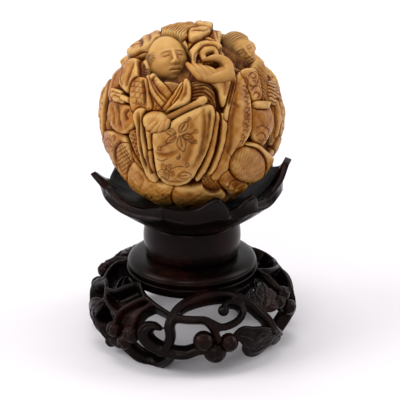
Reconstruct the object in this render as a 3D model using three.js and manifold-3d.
// A carved ivory ball that rests in a lotus cup on a pierced hardwood stand.
// Millimetres, +Z up, -Y towards the viewer. The origin is the bottom centre of the stand.

import * as THREE from 'three';
import { mergeVertices } from 'three/addons/utils/BufferGeometryUtils.js';
import Module from 'manifold-3d';

// Driving dimensions
const ballRadius = 30;
const carvingDepth = 4.2;
const baseHeight = 24.5;
const bellyRadius = 34.6;
const bellyHeight = 11;
const footRadius = 29;
const shoulderRadius = 21.5;
const collarHeight = 4.5;
const collarRadius = 21.2;
const neckHeight = 12;
const neckRadius = 15;
const neckBulgeDepth = 0.9;
const cupFloor = 4;
const pegRadius = 3.2;

// Clearances
const ballClearance = 0.3;
const pegClearance = 0.3;
const glueLine = 0.2;
const weldDistance = 0.00001;
const cutOverrun = 5;

// Heights of the stack
const collarBottom = baseHeight + glueLine;
const collarTop = baseHeight + collarHeight;
const neckBottom = collarTop + glueLine;
const neckTop = collarTop + neckHeight;
const cupBottom = neckTop + glueLine;
const ballCentre = neckTop + cupFloor + ballRadius;

const wasm = await Module();
wasm.setup();

const radians = THREE.MathUtils.degToRad;
const mix = THREE.MathUtils.lerp;

// A closed three.js geometry as a solid for joining and cutting
function toSolid(geometry) {
  const bare = geometry.clone();
  bare.deleteAttribute('normal');
  bare.deleteAttribute('uv');
  const merged = mergeVertices(bare, weldDistance);
  return new wasm.Manifold(new wasm.Mesh({
    numProp: 3,
    vertProperties: new Float32Array(merged.attributes.position.array),
    triVerts: new Uint32Array(merged.index.array),
  }));
}

function toGeometry(solid) {
  const mesh = solid.getMesh();
  const geometry = new THREE.BufferGeometry();
  geometry.setAttribute('position', new THREE.BufferAttribute(new Float32Array(mesh.vertProperties), 3));
  geometry.setIndex(new THREE.BufferAttribute(new Uint32Array(mesh.triVerts), 1));
  geometry.computeVertexNormals();
  return geometry;
}

function joinAll(solids) {
  return solids.reduce((joined, solid) => joined.add(solid));
}

// A closed skin through rings of points. The first and last rings are single points.
function skin(rings) {
  const points = [];
  const faces = [];
  const starts = rings.map((ring) => {
    const start = points.length / 3;
    ring.forEach((point) => points.push(point.x, point.y, point.z));
    return start;
  });
  for (let row = 0; row < rings.length - 1; row += 1) {
    const low = rings[row].length;
    const high = rings[row + 1].length;
    const count = Math.max(low, high);
    for (let i = 0; i < count; i += 1) {
      const next = (i + 1) % count;
      const a = starts[row] + (low === 1 ? 0 : i);
      const b = starts[row] + (low === 1 ? 0 : next);
      const c = starts[row + 1] + (high === 1 ? 0 : next);
      const d = starts[row + 1] + (high === 1 ? 0 : i);
      if (low > 1) faces.push(a, b, c);
      if (high > 1) faces.push(a, c, d);
    }
  }
  const geometry = new THREE.BufferGeometry();
  geometry.setAttribute('position', new THREE.Float32BufferAttribute(points, 3));
  geometry.setIndex(faces);
  return geometry;
}

// A turned solid from a closed profile of [radius, height] points
function turned(profile, segments) {
  const lathe = new THREE.LatheGeometry(profile.map(([r, z]) => new THREE.Vector2(r, z)), segments);
  lathe.rotateX(Math.PI / 2);
  return lathe;
}

// A plain vertical cylinder between two heights
function rod(radius, bottom, top, segments) {
  const cylinder = new THREE.CylinderGeometry(radius, radius, top - bottom, segments);
  cylinder.rotateX(Math.PI / 2);
  cylinder.translate(0, 0, (bottom + top) / 2);
  return cylinder;
}

// Azimuth 0 is the front and grows towards +X
function around(azimuth, radius, height) {
  const angle = radians(azimuth);
  return new THREE.Vector3(radius * Math.sin(angle), -radius * Math.cos(angle), height);
}

function evenTurns(count) {
  return Array.from({ length: count }, (_, index) => (index * 360) / count);
}

// Pierced base: an openwork dome of vines under a round top plate.
// A place on the dome is [azimuth, climbShare]: 0 at the foot, 1 at the shoulder.
const bellyClimbShare = 0.37;
const vineWidth = 3.3;
const vineDepth = 5;
const branchWidth = 2.4;
const wallWidth = 1.7;
const wallDepth = 6.5;
const leafWidth = 7;
const leafDepth = 2.6;
const plumRadius = 3;
const ringSpacing = 6;
const scrollSpacing = 3;
const hookSpacing = 4.6;
const wallSpacing = 6;
const vineSides = 6;
const wallSides = 5;
const plateThickness = 3;
const plateBossRadius = 8;
const plateBossDrop = 1.8;
const pegSocketDepth = 3.4;
const carvingCopies = 2;

function domePoint(azimuth, climb, inward = 0) {
  const profile = (share) => {
    if (share < bellyClimbShare) {
      const fall = 1 - share / bellyClimbShare;
      return [mix(bellyRadius, footRadius, fall * fall), bellyHeight * (1 - fall)];
    }
    const sweep = (Math.PI / 2) * ((share - bellyClimbShare) / (1 - bellyClimbShare));
    return [
      mix(shoulderRadius, bellyRadius, Math.cos(sweep)),
      mix(bellyHeight, baseHeight, Math.sin(sweep)),
    ];
  };
  const stepShare = 0.01;
  const [radius, height] = profile(climb);
  const [radiusOn, heightOn] = profile(climb + stepShare);
  const length = Math.hypot(radiusOn - radius, heightOn - height);
  const outward = (heightOn - height) / length;
  const upward = (radius - radiusOn) / length;
  const point = around(azimuth, radius - inward * outward, height - inward * upward);
  const normal = around(azimuth, outward, upward);
  return { point, normal };
}

// A stem of oval section along a route on the dome. Its width follows widthShares.
function stem(route, { width, depth, sides, widthShares, spacing = ringSpacing }, turn) {
  const plan = new THREE.CatmullRomCurve3(
    route.map(([azimuth, climb]) => domePoint(azimuth + turn, climb, depth / 2).point),
    false,
    'centripetal',
  );
  const normals = new THREE.CatmullRomCurve3(
    route.map(([azimuth, climb]) => domePoint(azimuth + turn, climb, 0).normal),
    false,
    'centripetal',
  );
  const steps = Math.max(3, Math.round(plan.getLength() / spacing));
  const rings = [];
  for (let step = 0; step <= steps; step += 1) {
    const share = step / steps;
    const onCurve = plan.getUtoTmapping(share);
    const centre = plan.getPoint(onCurve);
    const along = plan.getTangent(onCurve);
    const across = new THREE.Vector3().crossVectors(normals.getPoint(onCurve), along).normalize();
    const outward = new THREE.Vector3().crossVectors(along, across).normalize();
    const place = share * (widthShares.length - 1);
    const index = Math.min(Math.floor(place), widthShares.length - 2);
    const swell = mix(widthShares[index], widthShares[index + 1], place - index);
    const ring = [];
    for (let side = 0; side < sides; side += 1) {
      const angle = (side / sides) * 2 * Math.PI;
      ring.push(centre.clone()
        .addScaledVector(across, Math.cos(angle) * swell * width / 2)
        .addScaledVector(outward, Math.sin(angle) * Math.sqrt(swell) * depth / 2));
    }
    if (step === 0) rings.push([centre.clone().addScaledVector(along, -width * swell / 4)]);
    rings.push(ring);
    if (step === steps) rings.push([centre.clone().addScaledVector(along, width * swell / 4)]);
  }
  return toSolid(skin(rings));
}

const evenShares = [1, 1];
const taperShares = [1, 1, 0.9, 0.7];
const leafShares = [0.25, 0.85, 1, 0.8, 0.15];
const vineShape = { width: vineWidth, depth: vineDepth, sides: vineSides, widthShares: evenShares };
const wallShape = {
  width: wallWidth, depth: wallDepth, sides: wallSides, widthShares: evenShares, spacing: wallSpacing,
};
const leafShape = {
  width: leafWidth, depth: leafDepth, sides: wallSides, widthShares: leafShares, spacing: ringSpacing,
};

// Routes as [azimuth, climbShare] points
const vineRoutes = [
  { route: [[-15, 0.27], [-12, 0.44], [-13, 0.58], [-11, 0.7], [-7, 0.81], [0, 0.9], [11, 0.97],
    [24, 0.97], [32, 0.91], [36, 0.81], [41, 0.71], [44, 0.6], [48, 0.49], [51, 0.38], [62, 0.18]],
  },
  { route: [[-11, 0.66], [-1, 0.65], [8, 0.64], [12, 0.6], [17, 0.55], [24, 0.56], [30, 0.61],
    [33, 0.68], [32, 0.75], [28, 0.8], [23, 0.79], [20, 0.73]],
  width: branchWidth, widthShares: taperShares, spacing: scrollSpacing },
  { route: [[9, 0.63], [12, 0.55], [15, 0.41]], width: branchWidth },
  { route: [[-17, 0.54], [-22, 0.57], [-26, 0.53], [-28, 0.46], [-25, 0.37], [-20, 0.3], [-12, 0.25],
    [-4, 0.23], [4, 0.3], [10, 0.3]], widthShares: [0.3, 0.9, 1, 1, 1, 1], spacing: hookSpacing },
  { route: [[-42, 0.2], [-37, 0.05], [-31, -0.02], [-24, -0.02], [-16, 0.07], [-10, 0.24]] },
  { route: [[56, 0.26], [64, 0.1], [71, -0.01], [79, -0.02], [86, 0.07], [88, 0.22], [82, 0.36],
    [76, 0.44]] },
  { route: [[73, 0.6], [64, 0.58], [55, 0.63]], width: branchWidth },
  { route: [[80, 1], [75, 0.93], [73, 0.86], [70, 0.72], [74, 0.6]], width: branchWidth },
];

const wallRoutes = [
  [[-51, 1], [-43, 0.93], [-36, 0.86], [-24, 0.77], [-12, 0.68]],
  [[-50, 0.98], [-54, 0.87], [-59, 0.75], [-68, 0.7]],
  [[-32, 0.83], [-38, 0.75], [-46, 0.58], [-48, 0.4]],
  [[-92, 0.56], [-86, 0.66], [-78, 0.74], [-70, 0.72], [-61, 0.62], [-53, 0.58], [-46, 0.56]],
  [[-27, 0.77], [-32, 0.66], [-34, 0.54], [-35, 0.42]],
  [[-100, 1], [-96, 0.88], [-88, 0.8], [-80, 0.74]],
  [[-92, 0.56], [-96, 0.4], [-92, 0.22]],
  [[-62, 0.62], [-67, 0.52], [-70, 0.4], [-62, 0.25], [-56, 0.16], [-46, 0.16]],
];

const leafRoutes = [
  [[23, 0.44], [29, 0.43], [35, 0.37], [44, 0.36], [53, 0.33]],
  [[30, 0.3], [36, 0.2], [46, 0.19], [56, 0.21], [64, 0.2]],
  [[44, 0.6], [50, 0.7], [57, 0.8], [64, 0.9]],
  [[45, 0.64], [45, 0.72], [46, 0.8], [47, 0.86]],
  [[48, 0.6], [54, 0.65], [60, 0.7], [65, 0.7]],
  [[-62, 0.58], [-71, 0.46], [-76, 0.34], [-73, 0.22], [-60, 0.16]],
];

// Fruit as [azimuth, climbShare, radiusShare]
const plumShares = [
  [7, 0.42, 1.03], [21, 0.37, 0.97], [13, 0.25, 1.13],
  [72, 0.62, 0.87], [63, 0.59, 0.75], [74, 0.44, 0.87],
  [-48, 0.38, 0.8], [-35, 0.41, 0.87], [-40, 0.26, 0.77], [-58, 0.12, 0.7],
  [20, 0.72, 0.6],
];
const plumSinkShare = 0.35;

function plum([azimuth, climb, size], turn) {
  const radius = plumRadius * size;
  const ball = new THREE.SphereGeometry(radius, 8, 5);
  const { point } = domePoint(azimuth + turn, climb, radius * (1 - plumSinkShare));
  ball.translate(point.x, point.y, point.z);
  return toSolid(ball);
}

function piercedBase() {
  const plate = toSolid(rod(shoulderRadius, baseHeight - plateThickness, baseHeight, 40));
  const boss = toSolid(rod(plateBossRadius, baseHeight - plateThickness - plateBossDrop, baseHeight, 20));
  const turns = evenTurns(carvingCopies);
  const carving = turns.flatMap((turn) => [
    ...vineRoutes.map(({ route, ...shape }) => stem(route, { ...vineShape, ...shape }, turn)),
    ...wallRoutes.map((route) => stem(route, wallShape, turn)),
    ...leafRoutes.map((route) => stem(route, leafShape, turn)),
    ...plumShares.map((shares) => plum(shares, turn)),
  ]);
  const below = toSolid(rod(bellyRadius + cutOverrun, -cutOverrun, 0, 12));
  const above = toSolid(rod(bellyRadius + cutOverrun, baseHeight, baseHeight + cutOverrun, 12));
  const socketRadius = pegRadius + pegClearance;
  const socket = toSolid(rod(socketRadius, baseHeight - pegSocketDepth, baseHeight + cutOverrun, 20));
  return joinAll([plate, boss, ...carving]).subtract(below).subtract(above).subtract(socket);
}

// Collar: a turned cushion ring whose lip has two lines
const collarStepShare = 0.955;
const collarStepHeightShare = 0.18;
const collarLipHeightShare = 0.32;
const collarEdgeHeightShare = 0.48;
const cushionShares = [[0.95, 0.74], [0.84, 0.92]];

function collar() {
  const at = (radiusShare, heightShare) => [
    collarRadius * radiusShare,
    mix(collarBottom, collarTop, heightShare),
  ];
  const bore = pegRadius + pegClearance;
  return turned([
    [bore, collarBottom],
    at(collarStepShare, 0),
    at(collarStepShare, collarStepHeightShare),
    at(1, collarLipHeightShare),
    at(1, collarEdgeHeightShare),
    ...cushionShares.map(([radiusShare, heightShare]) => at(radiusShare, heightShare)),
    [neckRadius, collarTop],
    [bore, collarTop],
    [bore, collarBottom],
  ], 36);
}

// Neck: a barrel-shaped drum
function neckDrum() {
  const bore = pegRadius + pegClearance;
  const rows = 4;
  const barrel = [];
  for (let row = 0; row <= rows; row += 1) {
    const share = row / rows;
    barrel.push([neckRadius + neckBulgeDepth * Math.sin(Math.PI * share), mix(neckBottom, neckTop, share)]);
  }
  return turned([[bore, neckBottom], ...barrel, [bore, neckTop], [bore, neckBottom]], 36);
}

// Lotus cup: a bowl whose thick rim rises into pointed petals.
const rimInset = 3;
const rimWall = 2.3;
const rimOuterRise = 9.6;
const rimGap = 7.2;
const seatRadius = 12;
const petalRise = 10;
const petalFlare = 4.2;
const ridgeFlare = 0.9;
const ridgeRise = 2.6;
const edgeWall = 1.25;
const edgeDrop = 0.95;
const cupSocketDepth = 2.4;
const rimInnerRadius = ballRadius - rimInset;
const rimOuterRadius = rimInnerRadius + rimWall;
const cupCurve = 1.3;
const seatCurve = 1.6;
const petalCurve = 1.4;

// The rim as [azimuth, riseShare]: every second point is a valley between two petal tips
const rimShares = [
  [-103, 0.06], [-92, 0.45], [-83, 0.12], [-72, 0.55], [-62, 0.24], [-56.5, 0.43], [-22, 0.1],
  [-18, 0.16], [0, 0.03], [16.5, 0.52], [26.5, 0.04], [39.5, 0.44], [50, 0.12], [70.5, 1],
  [84, 0.1], [99, 0.5], [111, 0.05], [125, 0.62], [137, 0.05], [149, 0.5], [160, 0.05],
  [173, 0.62], [184, 0.05], [196, 0.5], [207, 0.08], [221, 0.6], [233, 0.05], [246, 0.5],
];
const columnSpacing = 5;

function rimColumns() {
  const columns = [];
  rimShares.forEach(([azimuth, rise], index) => {
    const [nextPlace, nextRise] = rimShares[(index + 1) % rimShares.length];
    const span = (nextPlace - azimuth + 360) % 360;
    const count = Math.max(2, Math.round(span / columnSpacing));
    for (let i = 0; i < count; i += 1) {
      const share = i / count;
      const climbing = nextRise > rise;
      const curve = climbing ? share ** petalCurve : 1 - (1 - share) ** petalCurve;
      columns.push({ azimuth: azimuth + span * share, rise: mix(rise, nextRise, curve) });
    }
  });
  return columns;
}

function lotusCup() {
  const columns = rimColumns();
  const insideHeight = (radius) => {
    const beyondSeat = Math.max(0, (radius - seatRadius) / (rimInnerRadius - seatRadius));
    const underBall = ballCentre - Math.sqrt(ballRadius ** 2 - radius ** 2);
    return underBall - ballClearance - rimGap * beyondSeat ** seatCurve;
  };
  const flare = (rise) => rise ** 0.8;
  const outside = (share) => columns.map(({ azimuth, rise }) => around(
    azimuth,
    mix(neckRadius, rimOuterRadius + ridgeFlare * rise, share),
    cupBottom + (rimOuterRise + ridgeRise * rise) * share ** cupCurve,
  ));
  const insidePetal = (share) => columns.map(({ azimuth, rise }) => around(
    azimuth,
    rimInnerRadius + petalFlare * flare(rise * share),
    insideHeight(rimInnerRadius) + petalRise * rise * share,
  ));
  const petalEdge = columns.map(({ azimuth, rise }) => around(
    azimuth,
    rimInnerRadius + petalFlare * flare(rise) + edgeWall,
    insideHeight(rimInnerRadius) + petalRise * rise - edgeDrop,
  ));
  const inside = (share) => columns.map(({ azimuth }) => around(
    azimuth,
    rimInnerRadius * share,
    insideHeight(rimInnerRadius * share),
  ));
  const bowl = skin([
    [new THREE.Vector3(0, 0, cupBottom)],
    ...[0, 0.5, 1].map(outside),
    petalEdge,
    ...[1, 0.5].map(insidePetal),
    ...[1, 0.8, 0.6, 0.4].map(inside),
    [new THREE.Vector3(0, 0, insideHeight(0))],
  ]);
  const socket = rod(pegRadius + pegClearance, cupBottom - cutOverrun, cupBottom + cupSocketDepth, 20);
  return toSolid(bowl).subtract(toSolid(socket));
}

// The dowel on the axis that joins base, collar, neck and cup
function centrePeg() {
  const bottom = baseHeight - pegSocketDepth + pegClearance;
  const top = cupBottom + cupSocketDepth - pegClearance;
  return rod(pegRadius, bottom, top, 20);
}

// Ball: a core under the layers of the carving, none of which reaches past the sphere.
// A plate is the ball as seen along one direction. A place on it is [acrossShare, upShare] of the
// ball's radius. A layer is an outline on a plate, carried out to its height share of the carving.
const coreFacets = 3;
const layerFacets = 4;
const coneReachShare = 1.4;

const frontLayerShares = [
  { height: 0.87, outline: [[-0.35, 0.92], [-0.24, 0.95], [-0.1, 0.98], [0.04, 0.98], [0.05, 0.9],
    [-0.12, 0.81], [-0.28, 0.8]] },
  { height: 0.93, outline: [[-0.7, 0.69], [-0.65, 0.74], [-0.53, 0.83], [-0.33, 0.93], [-0.28, 0.83],
    [-0.44, 0.74], [-0.57, 0.67]] },
  { height: 1, outline: [[-0.04, 0.91], [0.05, 0.94], [0.17, 0.93], [0.1, 0.81], [-0.02, 0.82]] },
  { height: 0.87, outline: [[0.03, 0.975], [0.23, 0.96], [0.22, 0.92], [0.07, 0.93]] },
  { height: 0.82, outline: [[-0.06, 0.71], [0.03, 0.77], [0.15, 0.8], [0.28, 0.77], [0.37, 0.7],
    [0.23, 0.6], [0.09, 0.59], [-0.04, 0.61]] },
  { height: 0.76, outline: [[-0.87, 0.45], [-0.79, 0.56], [-0.74, 0.47], [-0.75, 0.33], [-0.86, 0.27]] },
  { height: 0.87, outline: [[-0.69, 0.63], [-0.6, 0.64], [-0.52, 0.56], [-0.55, 0.41], [-0.64, 0.3],
    [-0.75, 0.31], [-0.76, 0.49]] },
  { height: 0.6, outline: [[-0.9, 0.24], [-0.73, 0.25], [-0.65, 0.18], [-0.62, -0.09], [-0.71, -0.2],
    [-0.84, -0.21], [-0.91, -0.12]] },
  { height: 0.82, outline: [[-0.95, -0.16], [-0.73, -0.23], [-0.61, -0.45], [-0.44, -0.68],
    [-0.35, -0.75], [-0.47, -0.85], [-0.61, -0.77], [-0.86, -0.49]] },
  { height: 0.87, outline: [[-0.58, -0.55], [-0.47, -0.65], [-0.35, -0.73], [-0.18, -0.76],
    [-0.17, -0.92], [-0.34, -0.93], [-0.5, -0.85], [-0.65, -0.74]] },
  { height: 0.82, outline: [[-0.17, -0.77], [0, -0.77], [0.17, -0.75], [0.37, -0.85], [0.17, -0.93],
    [-0.02, -0.95], [-0.18, -0.93]] },
  { height: 0.6, outline: [[0.14, 0.33], [0.25, 0.35], [0.36, 0.21], [0.38, -0.14], [0.34, -0.37],
    [0.21, -0.68], [0.07, -0.74], [-0.02, -0.72], [0.12, -0.47]] },
  { height: 0.82, outline: [[0.45, 0.41], [0.54, 0.48], [0.63, 0.22], [0.66, -0.1], [0.62, -0.24],
    [0.48, -0.41], [0.38, -0.61], [0.22, -0.69], [0.35, -0.36], [0.39, 0.09]] },
  { height: 0.76, outline: [[0.71, 0.63], [0.78, 0.6], [0.85, 0.42], [0.83, 0.16], [0.74, 0.2],
    [0.7, 0.46]] },
  { height: 0.8, outline: [[0.55, 0.47], [0.64, 0.51], [0.72, 0.47], [0.75, 0.17], [0.66, 0.15],
    [0.59, 0.3]] },
  { height: 0.82, outline: [[0.67, 0.1], [0.74, 0.15], [0.85, 0.14], [0.91, -0.04], [0.85, -0.23],
    [0.79, -0.34], [0.66, -0.24]] },
  { height: 0.82, outline: [[0.82, 0.37], [0.89, 0.42], [0.95, 0.28], [0.88, 0.12], [0.83, 0.19]] },
  { height: 0.8, outline: [[0.88, 0.14], [0.96, 0.16], [0.98, -0.02], [0.96, -0.22], [0.9, -0.18]] },
  { height: 0.76, outline: [[0.32, -0.64], [0.39, -0.59], [0.63, -0.75], [0.58, -0.8], [0.47, -0.86],
    [0.32, -0.78]] },
  { height: 0.67, outline: [[-0.49, 0.32], [-0.43, 0.4], [-0.32, 0.29], [-0.22, 0.19], [-0.1, 0.37],
    [-0.01, 0.35], [-0.06, 0.16], [-0.24, 0.01], [-0.41, -0.04]] },
  { height: 0.87, outline: [[-0.67, 0.21], [-0.6, 0.4], [-0.52, 0.41], [-0.43, 0.19], [-0.42, 0.04],
    [-0.55, 0.07], [-0.66, 0.12]] },
  { height: 0.82, outline: [[-0.61, 0.03], [-0.54, 0.08], [-0.46, 0.05], [-0.47, -0.22],
    [-0.4, -0.59], [-0.43, -0.7], [-0.55, -0.45], [-0.61, -0.1]] },
  { height: 1, outline: [[-0.43, -0.19], [-0.24, -0.07], [-0.12, 0.01], [0.03, 0.07], [0.14, 0.09],
    [0.22, 0.02], [0.22, -0.27], [0.11, -0.55], [-0.08, -0.74], [-0.35, -0.7], [-0.44, -0.39]] },
  { height: 0.82, outline: [[0.3, 0.38], [0.41, 0.43], [0.47, 0.36], [0.42, 0.13], [0.35, -0.1],
    [0.31, 0.02]] },
  { height: 0.93, outline: [[-0.04, 0.55], [0.09, 0.5], [0.13, 0.59], [0.26, 0.63], [0.39, 0.58],
    [0.4, 0.42], [0.27, 0.34], [0.09, 0.38]] },
];

const seatedLayerShares = [
  { height: 0.3, outline: [[-0.47, 0.37], [-0.25, 0.58], [0.25, 0.58], [0.47, 0.34], [0.54, -0.06],
    [0.46, -0.49], [0, -0.67], [-0.46, -0.49], [-0.54, -0.06]] },
  { height: 0.6, outline: [[-0.19, 0.42], [0.19, 0.42], [0.32, 0.29], [0.36, -0.19], [-0.36, -0.19],
    [-0.32, 0.29]] },
  { height: 0.93, outline: [[-0.42, -0.16], [0.07, -0.13], [0.45, -0.19], [0.47, -0.37],
    [0.28, -0.56], [-0.09, -0.59], [-0.37, -0.49], [-0.5, -0.34]] },
  { height: 0.87, outline: [[-0.22, 0.4], [-0.35, 0.32], [-0.45, 0.1], [-0.48, -0.16], [-0.35, -0.29],
    [-0.23, -0.2], [-0.17, 0]] },
  { height: 0.87, outline: [[0.22, 0.4], [0.35, 0.29], [0.42, 0.06], [0.39, -0.13], [0.23, -0.13],
    [0.15, 0]] },
  { height: 0.82, outline: [[-0.43, -0.46], [0.19, -0.57], [0.4, -0.46], [0.42, -0.57], [0.12, -0.7],
    [-0.24, -0.69], [-0.45, -0.57]] },
  { height: 1, outline: [[-0.13, 0.23], [0, 0.26], [0.13, 0.23], [0.17, 0.02], [0.1, -0.12],
    [-0.1, -0.12], [-0.17, 0.02]] },
];

const cloudShares = [
  { height: 0.76, outline: [[-0.26, -0.1], [-0.17, 0.13], [0.07, 0.2], [0.26, 0.1], [0.23, -0.13],
    [0, -0.2]] },
];
const crownLobeShares = [
  { height: 0.8, outline: [[0.1, -0.1], [0.29, -0.2], [0.48, -0.1], [0.51, 0.1], [0.33, 0.2],
    [0.13, 0.1]] },
];
const crownHeartShares = [
  { height: 0.93, outline: [[-0.17, -0.13], [0.03, -0.2], [0.2, -0.07], [0.17, 0.13], [-0.03, 0.2],
    [-0.2, 0.07]] },
];
const underLobeShares = [
  { height: 0.8, outline: [[0.13, -0.1], [0.42, -0.19], [0.64, -0.15], [0.69, 0.03], [0.53, 0.19],
    [0.26, 0.16]] },
];

// The round masses: [acrossShare, upShare], reach and half sizes in shares of the ball's radius,
// then how far each is turned, nodded back and tipped.
const headFormShares = [0.18, 0.24, 0.2];
const smallHeadFormShares = [0.13, 0.175, 0.15];
const frontMassShares = [
  { place: [-0.24, 0.56], reach: 0.79, half: headFormShares, turns: [16, 30, -7] },
  { place: [0.49, 0.71], reach: 0.82, half: smallHeadFormShares, turns: [30, 30, 22] },
  { place: [0.6, -0.53], reach: 0.82, half: [0.2, 0.2, 0.17], turns: [37, -32, 0] },
  { place: [-0.38, -0.07], reach: 0.87, half: [0.16, 0.11, 0.1], turns: [-22, -4, 8] },
];
const seatedMassShares = [
  { place: [0, 0.59], reach: 0.81, half: smallHeadFormShares, turns: [0, 32, 0] },
];
const batonEndShares = [[-0.32, -0.07], [0.12, 0.15]];
const batonRadiusShare = 0.033;
const batonReachShare = 0.966;

const frontTilt = 22;
const seatedTilt = 5;
const seatedPlaces = [108, 180, 252];
const betweenPlaces = [72, 144, 216, 288];
const cloudTilt = 40;
const crownLobes = 6;
const underLobes = 6;

function plateAxes(azimuth, tilt) {
  const out = around(azimuth, Math.cos(radians(tilt)), Math.sin(radians(tilt)));
  const right = around(azimuth + 90, 1, 0);
  return { out, right, up: new THREE.Vector3().crossVectors(out, right) };
}

// The direction from the ball's centre to a place on a plate
function onPlate(axes, [across, up]) {
  return new THREE.Vector3()
    .addScaledVector(axes.right, across)
    .addScaledVector(axes.up, up)
    .addScaledVector(axes.out, Math.sqrt(1 - across ** 2 - up ** 2));
}

// A cone from the ball's centre through an outline on a plate
function outlineCone(axes, outline) {
  const reach = ballRadius * coneReachShare;
  const flat = outline.map(([across, up]) => new THREE.Vector2(across, up));
  if (THREE.ShapeUtils.isClockWise(flat)) flat.reverse();
  const points = [0, 0, 0];
  flat.forEach(({ x, y }) => points.push(...onPlate(axes, [x, y]).multiplyScalar(reach).toArray()));
  const faces = [];
  flat.forEach((_, i) => faces.push(0, ((i + 1) % flat.length) + 1, i + 1));
  THREE.ShapeUtils.triangulateShape(flat, []).forEach((face) => faces.push(...face.map((i) => i + 1)));
  const geometry = new THREE.BufferGeometry();
  geometry.setAttribute('position', new THREE.Float32BufferAttribute(points, 3));
  geometry.setIndex(faces);
  return toSolid(geometry);
}

function turnedAxes(axes, [turn, nod, tip]) {
  const turning = new THREE.Matrix4().makeBasis(axes.right, axes.up, axes.out);
  const angles = new THREE.Euler(radians(-nod), radians(turn), radians(tip), 'YXZ');
  return turning.multiply(new THREE.Matrix4().makeRotationFromEuler(angles));
}

function roundMass(axes, { place, reach, half, turns }) {
  const egg = new THREE.SphereGeometry(ballRadius, 12, 8);
  egg.scale(...half);
  const placed = turnedAxes(axes, turns);
  placed.setPosition(onPlate(axes, place).multiplyScalar(ballRadius * reach));
  egg.applyMatrix4(placed);
  return toSolid(egg);
}

function baton(axes) {
  const [from, to] = batonEndShares.map((place) => (
    onPlate(axes, place).multiplyScalar(ballRadius * batonReachShare)
  ));
  const along = to.clone().sub(from);
  const radius = ballRadius * batonRadiusShare;
  const stick = new THREE.CylinderGeometry(radius, radius, along.length(), 8);
  const upright = new THREE.Vector3(0, 1, 0);
  stick.applyQuaternion(new THREE.Quaternion().setFromUnitVectors(upright, along.normalize()));
  const middle = from.add(to).multiplyScalar(1 / 2);
  stick.translate(middle.x, middle.y, middle.z);
  return toSolid(stick);
}

function ivoryBall() {
  const front = plateAxes(0, frontTilt);
  const seated = seatedPlaces.map((azimuth) => plateAxes(azimuth, seatedTilt));
  const between = betweenPlaces.map((azimuth) => plateAxes(azimuth, cloudTilt));
  const plates = [
    { axes: [front], layers: frontLayerShares },
    { axes: seated, layers: seatedLayerShares },
    { axes: between, layers: cloudShares },
    { axes: evenTurns(crownLobes).map((turn) => plateAxes(turn, 90)), layers: crownLobeShares },
    { axes: [plateAxes(0, 90)], layers: crownHeartShares },
    { axes: evenTurns(underLobes).map((turn) => plateAxes(turn, -90)), layers: underLobeShares },
  ];
  const conesByHeight = new Map();
  plates.forEach(({ axes, layers }) => axes.forEach((plate) => layers.forEach(({ height, outline }) => {
    const cones = conesByHeight.get(height) ?? [];
    conesByHeight.set(height, [...cones, outlineCone(plate, outline)]);
  })));
  const layers = [...conesByHeight].map(([height, cones]) => {
    const radius = ballRadius - carvingDepth * (1 - height);
    const level = new THREE.IcosahedronGeometry(radius, layerFacets);
    return joinAll(cones).intersect(toSolid(level));
  });
  const core = toSolid(new THREE.IcosahedronGeometry(ballRadius - carvingDepth, coreFacets));
  const masses = [
    ...frontMassShares.map((mass) => roundMass(front, mass)),
    ...seated.flatMap((axes) => seatedMassShares.map((mass) => roundMass(axes, mass))),
  ];
  return joinAll([core, ...layers, ...masses, baton(front)]).translate([0, 0, ballCentre]);
}

// Finishes
const darkWood = { color: 0x2a1a1a, roughness: 0.42, metalness: 0 };
const ivory = { color: 0xdcb874, roughness: 0.38, metalness: 0 };

function piece(name, geometry, finish) {
  const mesh = new THREE.Mesh(geometry, new THREE.MeshStandardMaterial(finish));
  mesh.name = name;
  return mesh;
}

const stand = new THREE.Group();
stand.add(
  piece('pierced_base', toGeometry(piercedBase()), darkWood),
  piece('collar', collar(), darkWood),
  piece('neck_drum', neckDrum(), darkWood),
  piece('lotus_cup', toGeometry(lotusCup()), darkWood),
  piece('centre_peg', centrePeg(), darkWood),
);

const object = new THREE.Group();
object.add(stand, piece('ivory_ball', toGeometry(ivoryBall()), ivory));

export default object;
